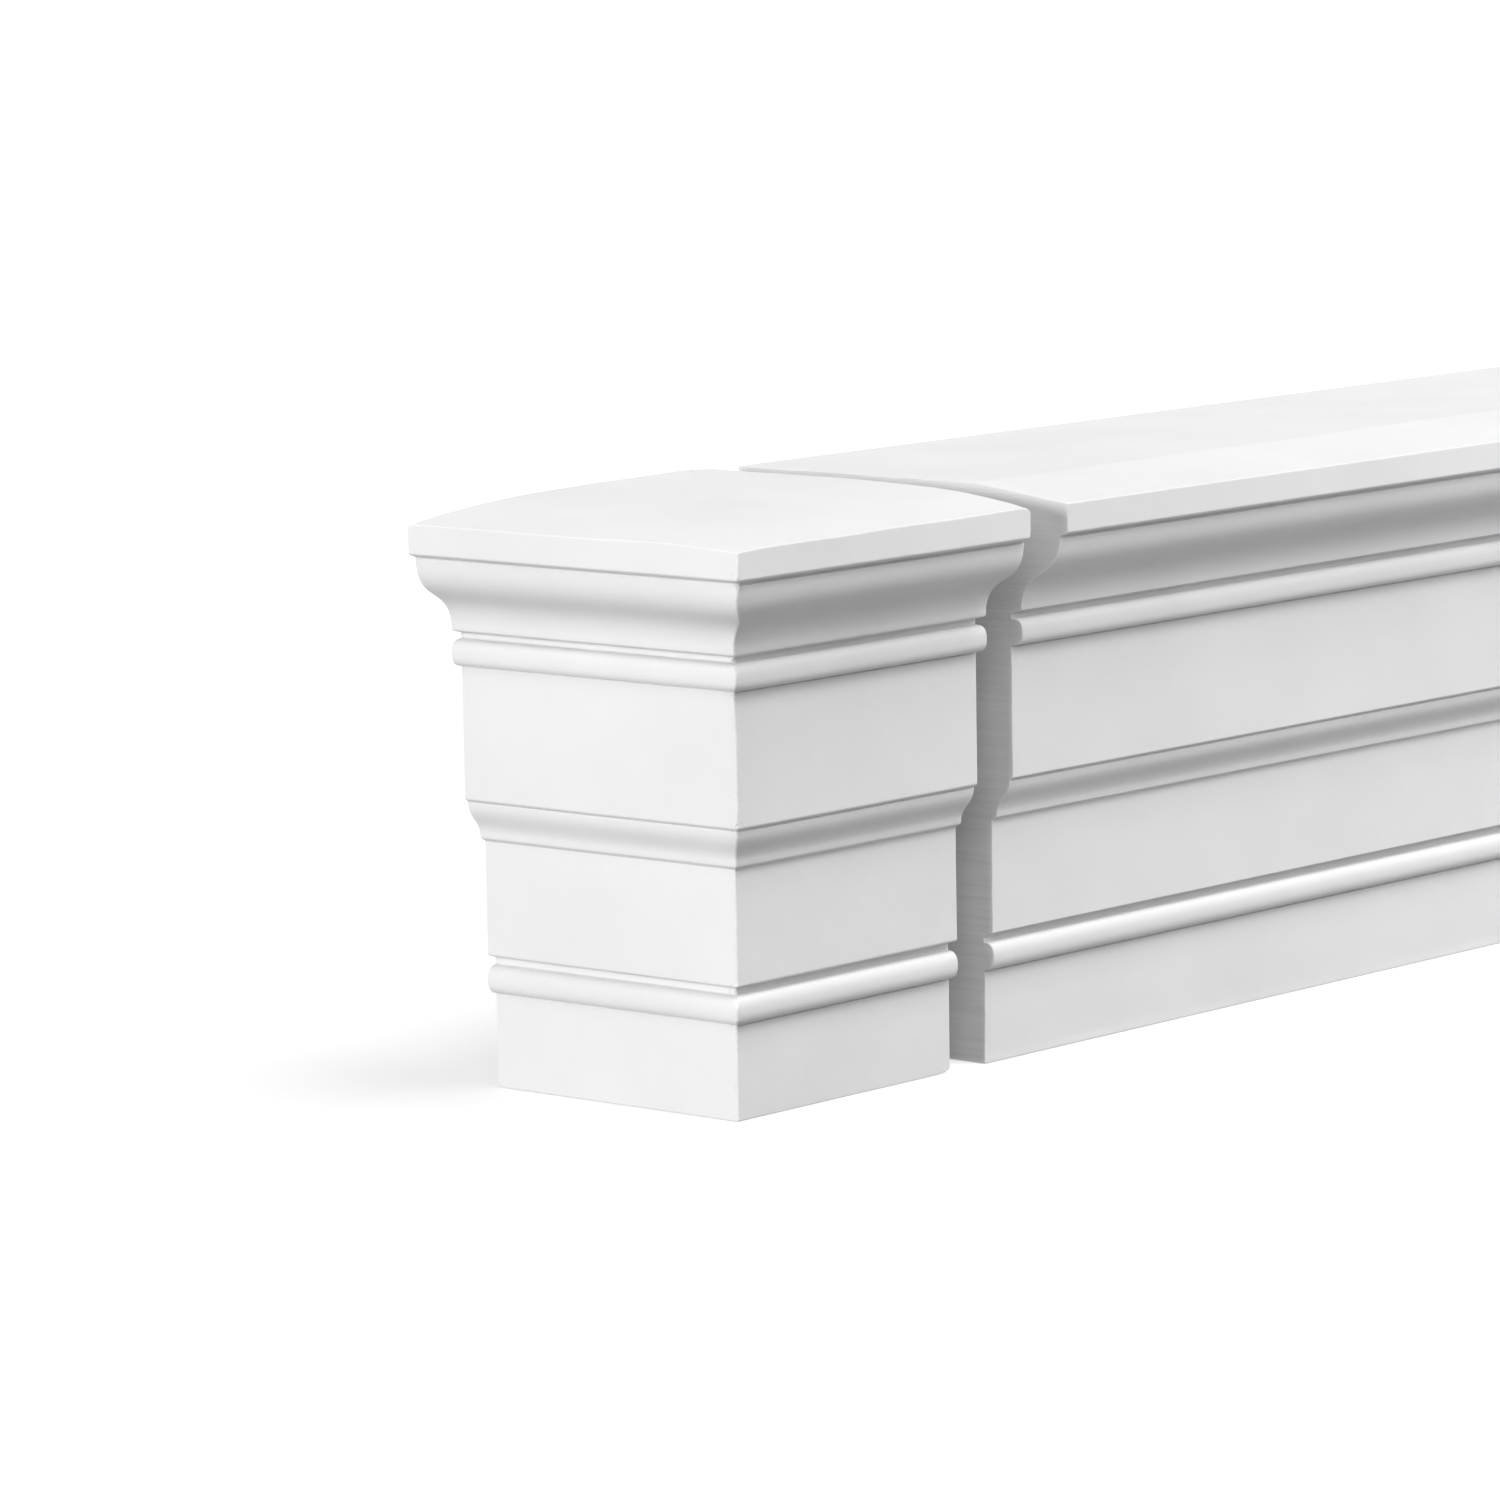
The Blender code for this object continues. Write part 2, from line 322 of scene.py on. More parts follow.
def face_nodes(soft):
    """Corners of the moulded face below the cap's top edge, as (inset, drop, radius).

    Returns them with the sunk lines, each as (inset, drop, height, depth) of its opening.
    """
    nodes, lines = [], []

    def corner(inset, drop, radius):
        nodes.append((inset, drop, radius))

    def sunk_line(inset, drop, line):
        height, depth = line
        corner(inset + depth, drop, 0.0)
        corner(inset + depth, drop + height, 0.0)
        corner(inset, drop + height, crease)
        lines.append((inset, drop, height, depth))

    def quirk(inset, top, foot, sink):
        corner(inset, top, 0.0)
        corner(inset + sink, top, 0.0)
        corner(inset + sink, foot, 0.0)
        lines.append((inset, top, foot - top, sink))

    def curve(points, first_radius, last_radius, line=None):
        first, last = Vector(points[0]), Vector(points[-1])
        if line:
            corner(*first, 0.0)
            sunk_line(*first, line)
            first = Vector((first.x, first.y + line[0]))
            points = [tuple(first), *(point for point in points if point[1] > first.y)]
        else:
            corner(*first, first_radius)
        for point in points[1:-1]:
            clear_of_first = (Vector(point) - first).length > FILLET_CLEARANCE * first_radius
            clear_of_last = (Vector(point) - last).length > FILLET_CLEARANCE * last_radius
            if clear_of_first and clear_of_last:
                corner(*point, 0.0)
        corner(*last, last_radius)

    crease, arris = soft["crease"], soft["arris"]
    corner(0.0, CAP_HEIGHT - CAP_LEDGE_FALL, soft["cap_foot"])
    drop = CAP_HEIGHT
    inset = CAP_OVERHANG
    foot = (inset + OGEE_SETBACK, drop + OGEE_HEIGHT)
    ogee = ogee_points((inset, drop), foot, OGEE_UPPER_PULL, OGEE_LOWER_PULL, OGEE_STEPS)
    curve(ogee, crease, arris, CAP_LINE)
    inset, drop = foot

    inset += UPPER_QUIRK_DEPTH
    quirk(inset, drop + QUIRK_LEDGE_FALL, drop + UPPER_QUIRK_HEIGHT, UPPER_QUIRK_SINK)
    drop += UPPER_QUIRK_HEIGHT
    bead = bead_points(inset, drop, UPPER_BEAD_HEIGHT, UPPER_BEAD_PROJECTION, UPPER_BEAD_FULLNESS)
    curve(bead, soft["bead_head"], 0.0)
    drop += UPPER_BEAD_HEIGHT
    sunk_line(inset, drop, BEAD_LINE)
    drop += UPPER_FASCIA_HEIGHT
    corner(inset, drop, arris)

    inset += SMALL_OGEE_LEDGE
    head = (inset, drop + SMALL_OGEE_LEDGE_FALL)
    inset += SMALL_OGEE_SETBACK
    foot = (inset, drop + SMALL_OGEE_HEIGHT - MIDDLE_FASCIA_LEDGE_FALL)
    ogee = ogee_points(head, foot, SMALL_OGEE_PULL, SMALL_OGEE_PULL, SMALL_OGEE_STEPS)
    curve(ogee, crease, arris, SMALL_OGEE_LINE)
    inset += MIDDLE_FASCIA_LEDGE
    drop += SMALL_OGEE_HEIGHT
    corner(inset, drop, crease)

    drop += MIDDLE_FASCIA_HEIGHT
    corner(inset, drop, arris)
    inset += LOWER_QUIRK_DEPTH
    quirk(inset, drop + QUIRK_LEDGE_FALL, drop + LOWER_QUIRK_HEIGHT, LOWER_QUIRK_SINK)
    drop += LOWER_QUIRK_HEIGHT
    bead = bead_points(inset, drop, LOWER_BEAD_HEIGHT, LOWER_BEAD_PROJECTION, LOWER_BEAD_FULLNESS)
    curve(bead, soft["bead_head"], 0.0)
    sunk_line(inset, drop + LOWER_BEAD_HEIGHT, BEAD_LINE)
    corner(inset, FACE_HEIGHT, FOOT_RADIUS)
    return nodes, lines


def rounded_outline(nodes):
    """Points of an outline whose corners are turned with their own radius."""
    points = []
    last = len(nodes) - 1
    for index, (inset, drop, radius) in enumerate(nodes):
        corner = Vector((inset, drop))
        if radius == 0.0 or index in (0, last):
            points.append(corner)
            continue
        back = Vector(nodes[index - 1][:2]) - corner
        ahead = Vector(nodes[index + 1][:2]) - corner
        reach = radius / math.tan(back.angle(ahead) / 2)
        reach = min(reach, FILLET_SHARE * back.length, FILLET_SHARE * ahead.length)
        start = corner + back.normalized() * reach
        end = corner + ahead.normalized() * reach
        for step in range(ARC_STEPS + 1):
            t = step / ARC_STEPS
            points.append(start.lerp(corner, t).lerp(corner.lerp(end, t), t))
    return points


def divided(points, longest_on_face, longest_on_top):
    """The same outline with its long stretches divided, more finely at their two ends."""
    fine = [points[0]]
    for previous, point in zip(points, points[1:]):
        on_top = max(previous.y, point.y) < TOP_EDGE_DROP
        longest = longest_on_top if on_top else longest_on_face
        length = (point - previous).length
        shares = [0.0, 1.0]
        if length > SUPPORTED_LENGTH:
            shares = [0.0, SUPPORT_STEP / length, 1 - SUPPORT_STEP / length, 1.0]
        for first, last in zip(shares, shares[1:]):
            pieces = max(1, math.ceil((last - first) * length / longest))
            steps = [first + (last - first) * piece / pieces for piece in range(1, pieces + 1)]
            fine += [previous.lerp(point, share) for share in steps]
    return fine


def outward_normals(outline, closed):
    """Unit normals of an outline of (inset, drop) points that runs down the face."""
    if closed:
        tangents = np.roll(outline, -1, axis=0) - np.roll(outline, 1, axis=0)
    else:
        tangents = np.gradient(outline, axis=0)
    lengths = np.linalg.norm(tangents, axis=1, keepdims=True)
    tangents = tangents / np.maximum(lengths, SHORTEST)
    return np.column_stack((-tangents[:, 1], tangents[:, 0]))


def sunk_depths(outline, normals, lines):
    """How far each point lies behind the opening of a sunk line, and normals without the lines."""
    depths = np.zeros(len(outline))
    for inset, drop, height, depth in lines:
        inside = np.abs(outline[:, 1] - drop - height / 2) < height / 2 + TOUCH
        inside &= np.abs(outline[:, 0] - inset - depth / 2) < depth / 2 + TOUCH
        depths += np.where(inside, np.maximum(outline[:, 0] - inset, 0.0), 0.0)
        normals = np.where(inside[:, None], (-1.0, 0.0), normals)
    return depths, normals


def coat_directions(outline, normals):
    """Which way the coat is uneven: along the normals on top, level everywhere else."""
    level = np.tile((-1.0, 0.0), (len(outline), 1))
    return np.where(outline[:, 1:] > END_SOFTNESS["cap_head"], level, normals)


def ripple(places, wavelength, seed):
    """A smooth uneven field of about -1 to 1 over places, the same on each run."""
    random = np.random.default_rng(seed)
    total = np.zeros(places.shape[:-1])
    for _ in range(RIPPLE_WAVES):
        direction = random.normal(size=3)
        direction /= np.linalg.norm(direction)
        length = wavelength * random.uniform(*RIPPLE_SPREAD)
        start = random.uniform(0, 2 * math.pi)
        total += np.sin(places @ direction * (2 * math.pi / length) + start)
    return total / math.sqrt(RIPPLE_WAVES)


def rippled(places, fields):
    """The sum of several ripples, each given as (height, wavelength, seed)."""
    return sum(height * ripple(places, wavelength, seed) for height, wavelength, seed in fields)


def fade(distance, reach):
    """1 where the distance is 0, falling towards 0 over the reach."""
    return np.exp(-distance / reach)


def hump(value, middle, width):
    """1 at the middle, falling towards 0 on both sides over the width."""
    return np.exp(-((value - middle) / width) ** 2)


def rounding(radius, steps):
    """(distance from the end, pull below the surface) from a cut end inwards."""
    angles = [math.pi / 2 * step / steps for step in range(steps + 1)]
    return [(radius * (1 - math.cos(a)), radius * (1 - math.sin(a))) for a in angles]


def spaced(start, end, longest):
    """Numbers from start to end, both left out, no further apart than longest."""
    count = max(1, math.ceil((end - start) / longest))
    return [start + (end - start) * index / count for index in range(1, count)]


def mesh_piece(name, vertices, faces, slots, materials):
    """A smooth shaded mesh object whose end faces stay flat."""
    mesh = bpy.data.meshes.new(name)
    mesh.from_pydata(vertices.tolist(), [], faces)
    for material in materials:
        mesh.materials.append(material)
    mesh.polygons.foreach_set("material_index", slots)
    mesh.polygons.foreach_set("use_smooth", [len(face) == 4 for face in faces])
    mesh.validate()
    mesh.update()
    piece = bpy.data.objects.new(name, mesh)
    bpy.context.scene.collection.objects.link(piece)
    return piece


def closing_faces(section, ring, facing):
    """Triangles over the vertices of a ring that close a cut end.

    The section holds the flat places of the ring's vertices. Facing is 1 where the face is seen
    with its first axis to the right and its second one up, and -1 where it is seen from behind.
    The rounding of a cut end draws the ring in by more than the outline's smallest corners, so it
    folds there, and some thin triangles face inwards and overlap others.
    """
    corners = [Vector(place) for place in section]
    triangles = tessellate_polygon([[corner.to_3d() for corner in corners]])
    turn = 0.0
    for triangle in triangles:
        a, b, c = (corners[index] for index in triangle)
        turn += (b - a).cross(c - a) * facing
    step = 1 if turn > 0 else -1
    return [tuple(ring[index] for index in triangle[::step]) for triangle in triangles]


def run_outline():
    """The run's closed outline, the number of its first back row, and its sunk lines."""
    moulded, lines = face_nodes(RUN_SOFTNESS)
    nodes = [
        (DEPTH, -RUN_TOP_RISE, 0.0),
        (WEATHERING_WIDTH, -RUN_TOP_RISE, WEATHERING_TURN),
        (0.0, 0.0, RUN_SOFTNESS["cap_head"]),
        *moulded,
        (DEPTH, FACE_HEIGHT, 0.0),
    ]
    outline = divided(rounded_outline(nodes), RUN_FACE_STEP, TOP_STEP)
    back_ends = [Vector((DEPTH, FACE_HEIGHT)), Vector((DEPTH, -RUN_TOP_RISE))]
    back = divided(back_ends, PLAIN_STEP, PLAIN_STEP)[1:-1]
    first_back = len(outline) - 1
    return np.array([tuple(point) for point in outline + back]), first_back, lines


def run_stations():
    """(place along the run, pull below the surface) of each column, from end to end."""
    near_end = rounding(RUN_END_RADIUS, END_ROUND_STEPS)
    middle = spaced(RUN_END_RADIUS, RUN_LENGTH - RUN_END_RADIUS, RUN_STATION_STEP)
    far_end = [(RUN_LENGTH - distance, pull) for distance, pull in reversed(near_end)]
    return near_end + [(x, 0.0) for x in middle] + far_end


def coat_run(places, coat, sunk):
    """Makes the coat and the saw cuts slightly uneven, and lets the sunk lines run out."""
    from_end = np.minimum(places[..., 0], RUN_LENGTH - places[..., 0])
    in_front = places[..., 1] < DEPTH - PLAIN_MARGIN
    above_foot = places[..., 2] > -FACE_HEIGHT + PLAIN_MARGIN
    swell = rippled(places, RUN_COAT)
    swell = np.where(in_front & above_foot, swell - RUN_COAT_ALLOWANCE, 0.0)
    places[..., 1] += swell * coat[:, 0] - sunk * fade(from_end, LINE_FADE)
    places[..., 2] -= swell * coat[:, 1]
    across = places * (0, 1, 1)
    drift = SAW_ALLOWANCE + rippled(across, SAW_DRIFT)
    inward = np.where(places[..., 0] < RUN_LENGTH / 2, 1.0, -1.0)
    places[..., 0] += inward * drift * fade(from_end, SAW_FADE)


def make_run(materials):
    """The straight run: its closed outline drawn along X between two cut ends."""
    outline, first_back, lines = run_outline()
    rows = len(outline)
    sunk, normals = sunk_depths(outline, outward_normals(outline, closed=True), lines)
    stations = run_stations()
    columns = []
    for x, pull in stations:
        section = outline - normals * pull
        columns.append(np.column_stack((np.full(rows, x), section[:, 0], -section[:, 1])))
    places = np.array(columns)
    coat_run(places, coat_directions(outline, normals), sunk)
    places += (RUN_LOW.x, CAP_FACE_Y, FACE_HEIGHT)
    vertices = np.clip(places.reshape(-1, 3), RUN_LOW, RUN_HIGH)

    faces, slots = [], []
    for column in range(len(stations) - 1):
        for row in range(rows):
            after = (row + 1) % rows
            a, b = column * rows + row, column * rows + after
            faces.append((a, b, b + rows, a + rows))
            slots.append(1 if row >= first_back else 0)
    last_column = len(stations) - 1
    for ring_column, clean_column, facing in (
        (0, END_ROUND_STEPS, -1),
        (last_column, last_column - END_ROUND_STEPS, 1),
    ):
        section = vertices[clean_column * rows:(clean_column + 1) * rows, 1:]
        faces += closing_faces(section, range(ring_column * rows, (ring_column + 1) * rows), facing)
    slots += [1] * (len(faces) - len(slots))
    return mesh_piece("moulding_run_body", vertices, faces, slots, materials)


def end_piece_columns(outline, normals):
    """Places of the end piece's outline from the wall, round the mitre, to the cut end."""
    rows = len(outline)
    columns, legs = [], []

    def add_column(along_x, along_y, pull, leg):
        section = outline - normals * pull
        inset = section[:, 0]
        columns.append(np.column_stack((along_x(inset), along_y(inset), -section[:, 1])))
        legs.append(leg)

    def leg_places(length, end_radius):
        """Functions that give the place along a leg for each inset, from the mitre outwards."""
        near = [lambda inset, s=step: inset + MITRE_RADIUS + s for step in NEAR_MITRE]
        first, last = MITRE_RADIUS + NEAR_MITRE[-1], length - end_radius - NEAR_END[0]
        far = [
            lambda inset, u=share: inset + first + (last - inset - first) * u
            for share in spaced(0.0, 1.0, END_STATION_STEP / length)
        ]
        by_end = [lambda inset, s=step: np.full(rows, length - end_radius - s) for step in NEAR_END]
        return near + far + by_end

    def own(inset):
        return inset

    for distance, pull in rounding(WALL_END_RADIUS, END_ROUND_STEPS):
        add_column(own, lambda inset, s=distance: np.full(rows, DEPTH - s), pull, -1)
    for place in reversed(leg_places(DEPTH, WALL_END_RADIUS)):
        add_column(own, place, 0.0, -1)
    for step in range(MITRE_STEPS + 1):
        angle = math.pi / 2 * step / MITRE_STEPS
        add_column(
            lambda inset, a=angle: inset + MITRE_RADIUS * (1 - math.cos(a)),
            lambda inset, a=angle: inset + MITRE_RADIUS * (1 - math.sin(a)),
            0.0, 0,
        )
    for place in leg_places(END_LENGTH, CUT_END_RADIUS):
        add_column(place, own, 0.0, 1)
    for distance, pull in reversed(rounding(CUT_END_RADIUS, END_ROUND_STEPS)):
        add_column(lambda inset, s=distance: np.full(rows, END_LENGTH - s), own, pull, 1)
    return np.array(columns), np.array(legs)[:, None]


def smooth_least(first, second, power):
    """The smaller of two fields, with a blended hip between them."""
    first, second = np.maximum(first, NEAR_ZERO), np.maximum(second, NEAR_ZERO)
    return (first ** -power + second ** -power) ** (-1 / power)


def corner_wear(z, share, distance, length, height, reach):
    """Rounds an outer corner: moves z down (or up, where share is negative) near an end."""
    inside = np.clip(1 - distance / length, 0.0, 1.0)
    z -= share * height * (1 - np.sqrt(np.clip(1 - inside ** 2, 0.0, 1.0))) * reach


def edge_lift(x, y):
    """How far the hand-finished cap edge lies above or below level, all over the plan."""
    return_height, return_length = RETURN_EDGE_RISE
    face_height, face_length = FACE_EDGE_RISE
    hump_height, hump_place, hump_width = RETURN_EDGE_HUMP
    along_return = -EDGE_DIP + return_height * (1 - fade(y, return_length))
    along_return += hump_height * hump(y, hump_place, hump_width)
    along_face = -EDGE_DIP + face_height * (1 - fade(x, face_length)) + FACE_EDGE_SLOPE * x
    face_share = x / (x + y + NEAR_ZERO)
    lift = along_return * (1 - face_share) + along_face * face_share
    plan = np.stack((x, y, 0 * x), axis=-1)
    lift += rippled(plan, EDGE_RIPPLES)
    return lift + hump(y, *DENTS_PLACE) * fade(x, DENTS_REACH) * rippled(plan, DENTS)


def shape_end_top(x, y, z, cap_share):
    """Domes the end piece's top and gives its cap the slightly uneven hand-finished edge."""
    inset = smooth_least(x, y, HIP_SHARPNESS)
    reach = smooth_least(x / DOME_REACH_FROM_RETURN, y / DOME_REACH_FROM_FACE, HIP_SHARPNESS)
    crown = END_TOP_RISE * (DOME_RETURN_SHARE + (1 - DOME_RETURN_SHARE) * x / END_LENGTH)
    rise = crown * (1 - np.exp(-reach ** DOME_SWELL))
    on_top = z > DOMED_ABOVE
    z += edge_lift(x, y) * cap_share * fade(inset, EDGE_REACH) + np.where(on_top, rise, 0.0)


def end_piece_outline():
    """The end piece's outline, from the middle of its top to the middle of its underside."""
    moulded, lines = face_nodes(END_SOFTNESS)
    nodes = [
        (END_TOP_INSET, 0.0, 0.0),
        (0.0, 0.0, END_SOFTNESS["cap_head"]),
        *moulded,
        (END_TOP_INSET, FACE_HEIGHT, 0.0),
    ]
    outline = divided(rounded_outline(nodes), END_FACE_STEP, TOP_STEP)
    return np.array([tuple(point) for point in outline]), lines


def coat_end_piece(places, legs, coat, sunk, from_cut, from_wall, from_mitre):
    """Makes the coat slightly uneven, and lets the sunk lines run out."""
    swell = rippled(places, END_COAT)
    by_cut = np.minimum(from_wall, from_cut) < CUT_EDGE
    swell = np.where(by_cut, CUT_EDGE_COAT_SHARE * swell, swell) - END_COAT_ALLOWANCE
    face_share = np.where(legs > 0, 1 - fade(from_mitre, LINE_FADE_AT_MITRE), 0.0)
    filled = 1 - RETURN_LINE_SHARE - (1 - RETURN_LINE_SHARE) * face_share
    filled += (1 - filled) * fade(np.minimum(from_cut, from_wall), LINE_FADE)
    forward = swell * coat[:, 0] - sunk * filled
    places[..., 0] += np.where(legs > 0, 0.0, forward)
    places[..., 1] += np.where(legs < 0, 0.0, forward)
    places[..., 2] -= swell * coat[:, 1]


def wear_mitre(x, y, drops, from_mitre, ragged):
    """Nicks the mitre, lets it waver, and sets the face's cap and ogee back beside it."""
    heights = np.stack((0 * drops, 0 * drops, drops), axis=-1)
    notch = (NICK_DEPTH + RAGGED_NICK_DEPTH * ragged) * ripple(heights, *NICK_WAVES)
    sway_depth = SWAY_DEPTH + OGEE_SWAY_DEPTH * hump(drops, *OGEE_SWAY_PLACE)
    notch += sway_depth * ripple(heights, *SWAY_WAVES)
    notch = (notch - NICK_ALLOWANCE * (1 + ragged)) * fade(from_mitre, NICK_FADE)
    notch *= drops > NICKED_BELOW
    x -= notch
    y -= notch
    waver = sum(shift * hump(drops, drop, reach) for drop, reach, shift in MITRE_WAVERS)
    waver *= fade(from_mitre, WAVER_FADE) / math.sqrt(2)
    x += waver
    y -= waver
    upper_share = 1 / (1 + np.exp((drops - SETBACK_DROP) / SETBACK_BLEND))
    along_face = fade(np.maximum(x, 0), SETBACK_FADE_ALONG_FACE)
    along_return = fade(np.maximum(y, 0), SETBACK_FADE_ALONG_RETURN)
    y += MITRE_SETBACK * upper_share * along_face * along_return


def wear_corners(x, y, z, drops, cap_share, from_cut, from_wall):
    """Wears the outer corners of the cap and of the foot, and the cap's cut edge."""
    for distance, inward, (length, height, reach) in (
        (from_cut, y, CAP_CUT_CORNER),
        (from_wall, x, CAP_WALL_CORNER),
    ):
        corner_wear(z, cap_share, distance, length, height, fade(np.maximum(inward, 0), reach))
    on_cap = np.where(drops < CAP_HEIGHT, 1.0, 0.0)
    corner_wear(y, -on_cap, from_cut, CAP_END_RIM, CAP_END_RIM, 1.0)
    down_cap = np.clip((drops - CAP_FOOT_WEAR_DROP) / CAP_FOOT_WEAR_HEIGHT, 0.0, 1.0)
    x -= CAP_FOOT_WEAR * on_cap * down_cap ** 2 * fade(from_cut, CAP_FOOT_WEAR_FADE)
    foot_share = -np.clip((drops - FACE_HEIGHT + FOOT_WEAR_HEIGHT) / FOOT_WEAR_HEIGHT, 0.0, 1.0)
    behind_face = np.maximum(y - LOWER_FASCIA_INSET, 0.0)
    behind_return = np.maximum(x - LOWER_FASCIA_INSET, 0.0)
    for distance, behind, (length, height, reach) in (
        (from_cut, behind_face, FOOT_CUT_CORNER),
        (from_wall, behind_return, FOOT_WALL_CORNER),
    ):
        corner_wear(z, foot_share, distance, length, height, fade(behind, reach))


def end_piece_faces(vertices, rows, count):
    """The end piece's faces and their material slots; its last two vertices are the back's."""
    back_top, back_foot = len(vertices) - 2, len(vertices) - 1
    faces, slots = [], []
    for column in range(count - 1):
        for row in range(rows - 1):
            a = column * rows + row
            faces.append((a, a + 1, a + 1 + rows, a + rows))
            slots.append(0)
    faces.append(tuple([column * rows for column in range(count)] + [back_top]))
    underside = [column * rows + rows - 1 for column in range(count - 1, -1, -1)]
    faces.append(tuple(underside + [back_foot]))
    slots += [0, 0]
    for ring_column, clean_column, across, facing in (
        (0, END_ROUND_STEPS, 0, -1),
        (count - 1, count - 1 - END_ROUND_STEPS, 1, 1),
    ):
        ring = list(range(ring_column * rows, (ring_column + 1) * rows)) + [back_foot, back_top]
        section = vertices[clean_column * rows:(clean_column + 1) * rows]
        section = np.vstack((section, vertices[[back_foot, back_top]]))[:, (across, 2)]
        faces += closing_faces(section, ring, facing)
    slots += [1] * (len(faces) - len(slots))
    return faces, slots


def make_end_piece(materials):
    """The end piece: face and return meet in a softened mitre, and the top is domed."""
    outline, lines = end_piece_outline()
    rows = len(outline)
    sunk, normals = sunk_depths(outline, outward_normals(outline, closed=False), lines)
    places, legs = end_piece_columns(outline, normals)
    x, y, z = places[..., 0], places[..., 1], places[..., 2]
    drops, from_cut, from_wall, from_mitre = -z, END_LENGTH - x, DEPTH - y, np.abs(x - y)
    ragged = sum(hump(drops, drop, RAGGED_REACH) for drop in MITRE_RAGGED_DROPS)
    cap_share = np.clip(1 - drops / CAP_HEIGHT, 0.0, 1.0)

    coat = coat_directions(outline, normals)
    coat_end_piece(places, legs, coat, sunk, from_cut, from_wall, from_mitre)
    wear_mitre(x, y, drops, from_mitre, ragged)
    shape_end_top(np.maximum(x, 0.0), np.maximum(y, 0.0), z, cap_share)
    wear_corners(x, y, z, drops, cap_share, from_cut, from_wall)
    specks = fade(from_mitre, SPECK_FADE) * (SPECK_SHARE + ragged) * (drops > SPECKED_BELOW)

    places += (END_LOW.x, CAP_FACE_Y, FACE_HEIGHT)
    vertices = np.clip(places.reshape(-1, 3), END_LOW, END_HIGH)
    top_z, foot_z = vertices[0, 2], vertices[rows - 1, 2]
    back_corners = [(END_HIGH.x, WALL_Y, top_z), (END_HIGH.x, WALL_Y, foot_z)]
    vertices = np.vstack((vertices, back_corners))
    faces, slots = end_piece_faces(vertices, rows, len(places))
    piece = mesh_piece("end_piece_body", vertices, faces, slots, materials)
    attribute = piece.data.attributes.new("mitre_wear", "FLOAT", "POINT")
    attribute.data.foreach_set("value", np.append(specks.reshape(-1), (0.0, 0.0)))
    return piece


def new_material(name):
    material = bpy.data.materials.new(name)
    material.use_nodes = True
    return material, material.node_tree.nodes, material.node_tree.links


def noise_node(nodes, links, vector, scale, detail, roughness=0.5):
    node = nodes.new("ShaderNodeTexNoise")
    node.inputs["Scale"].default_value = scale
    node.inputs["Detail"].default_value = detail
    node.inputs["Roughness"].default_value = roughness
    links.new(vector, node.inputs["Vector"])
    return node.outputs["Fac"]


def map_range(nodes, links, value, low, high, to_low=0.0, to_high=1.0):
    node = nodes.new("ShaderNodeMapRange")
    ends = {"From Min": low, "From Max": high, "To Min": to_low, "To Max": to_high}
    for key, number in ends.items():
        node.inputs[key].default_value = number
    links.new(value, node.inputs["Value"])
    return node.outputs["Result"]


def colour_mix(nodes, links, factor, first, second):
    node = nodes.new("ShaderNodeMix")
    node.data_type = "RGBA"
    for key, tone in (("A", first), ("B", second)):
        if isinstance(tone, tuple):
            node.inputs[key].default_value = tone
        else:
            links.new(tone, node.inputs[key])
    links.new(factor, node.inputs["Factor"])
    return node.outputs["Result"]


def bump_node(nodes, links, height, distance, strength, below=None):
    node = nodes.new("ShaderNodeBump")
    node.inputs["Distance"].default_value = distance
    node.inputs["Strength"].default_value = strength
    links.new(height, node.inputs["Height"])
    if below is not None:
        links.new(below, node.inputs["Normal"])
    return node.outputs["Normal"]


def primer_material():
    """Matt white primer over a finely grained coat."""
    material, nodes, links = new_material("white_primer_coat")
    shader = nodes["Principled BSDF"]
    place = nodes.new("ShaderNodeTexCoord").outputs["Object"]
    cloud = noise_node(nodes, links, place, scale=14.0, detail=4.0)
    grain = noise_node(nodes, links, place, scale=620.0, detail=5.0, roughness=0.62)
    lumps = noise_node(nodes, links, place, scale=95.0, detail=3.0)
    tone = map_range(nodes, links, cloud, low=0.35, high=0.65)
    colour = colour_mix(nodes, links, tone, *PRIMER_TONES)
    specks = noise_node(nodes, links, place, scale=700.0, detail=3.0)
    sparse_specks = map_range(nodes, links, specks, low=0.56, high=0.66)
    wear = nodes.new("ShaderNodeAttribute")
    wear.attribute_name = "mitre_wear"
    amount = nodes.new("ShaderNodeMath")
    amount.operation = "MULTIPLY"
    links.new(sparse_specks, amount.inputs[0])
    links.new(wear.outputs["Fac"], amount.inputs[1])
    colour = colour_mix(nodes, links, amount.outputs[0], colour, SPECK_TONE)
    links.new(colour, shader.inputs["Base Color"])
    rough = map_range(nodes, links, grain, low=0.3, high=0.7, to_low=0.66, to_high=0.82)
    links.new(rough, shader.inputs["Roughness"])
    shader.inputs["Specular IOR Level"].default_value = 0.30
    normal = bump_node(nodes, links, lumps, distance=0.0003, strength=0.30)
    normal = bump_node(nodes, links, grain, distance=0.00012, strength=0.45, below=normal)
    links.new(normal, shader.inputs["Normal"])
    return material


